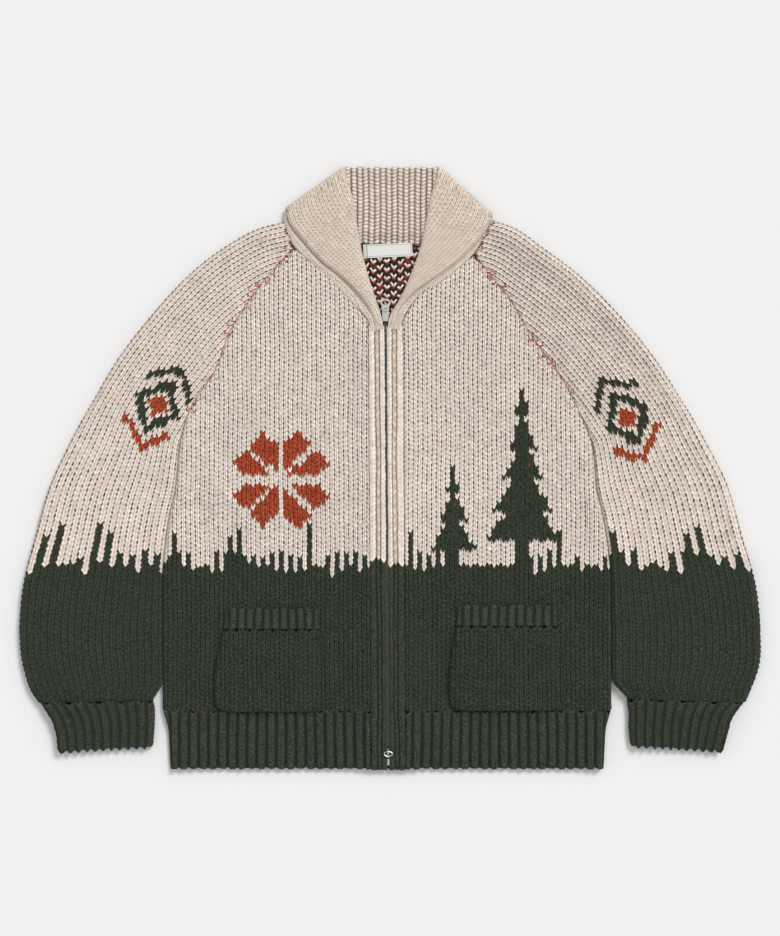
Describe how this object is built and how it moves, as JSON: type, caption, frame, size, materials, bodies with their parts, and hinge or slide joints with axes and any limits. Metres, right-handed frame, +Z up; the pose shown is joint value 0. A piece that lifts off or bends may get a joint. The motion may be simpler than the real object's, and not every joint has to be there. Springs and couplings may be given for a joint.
{
  "type": "cowichan cardigan",
  "caption": "Thick knitted cardigan laid flat, zipped up, with a shawl collar, raglan sleeves, patch pockets, and rib hem and cuffs.",
  "frame": {"origin": "centre of the footprint, on the surface the cardigan lies on", "axes": "+Z up out of the front of the cardigan, +Y towards the collar, +X towards the wearer's left sleeve"},
  "size_m": [0.9594, 0.7826, 0.0161],
  "materials": {
    "cream_wool": "thick woollen knit, oatmeal, dark green below the colour change",
    "green_wool": "thick woollen knit, heathered dark green",
    "woven_label": "smooth woven label, bare",
    "zip_tape": "woven tape",
    "zip_steel": "bright nickel"
  },
  "bodies": {
    "garment": {"back_panel": "cream_wool", "front_left": "cream_wool", "front_right": "cream_wool", "sleeve_left": "cream_wool", "sleeve_right": "cream_wool", "collar": "cream_wool", "band_left": "cream_wool", "band_right": "cream_wool", "cuff_left": "green_wool", "cuff_right": "green_wool", "hem_back": "green_wool", "hem_left": "green_wool", "hem_right": "green_wool", "pocket_left": "green_wool", "pocket_right": "green_wool", "neck_label": "woven_label", "zip_tape_left": "zip_tape", "zip_tape_right": "zip_tape", "zip_slider_top": "zip_steel", "zip_slider_bottom": "zip_steel", "zip_end_pin": "zip_steel"},
    "pull_top": {"zip_pull_top": "zip_steel"},
    "ring_bottom": {"zip_ring_bottom": "zip_steel"}
  },
  "joints": [
    {"name": "pull_top_hinge", "type": "hinge", "parent": "garment", "child": "pull_top", "pos_m": [-0.0058, 0.204, 0.0115], "axis": [1, 0, 0], "range_deg": [0, 150]},
    {"name": "ring_bottom_hinge", "type": "hinge", "parent": "garment", "child": "ring_bottom", "pos_m": [-0.00215, -0.367, 0.0137], "axis": [-1, 0, 0], "range_deg": [0, 175]}
  ]
}
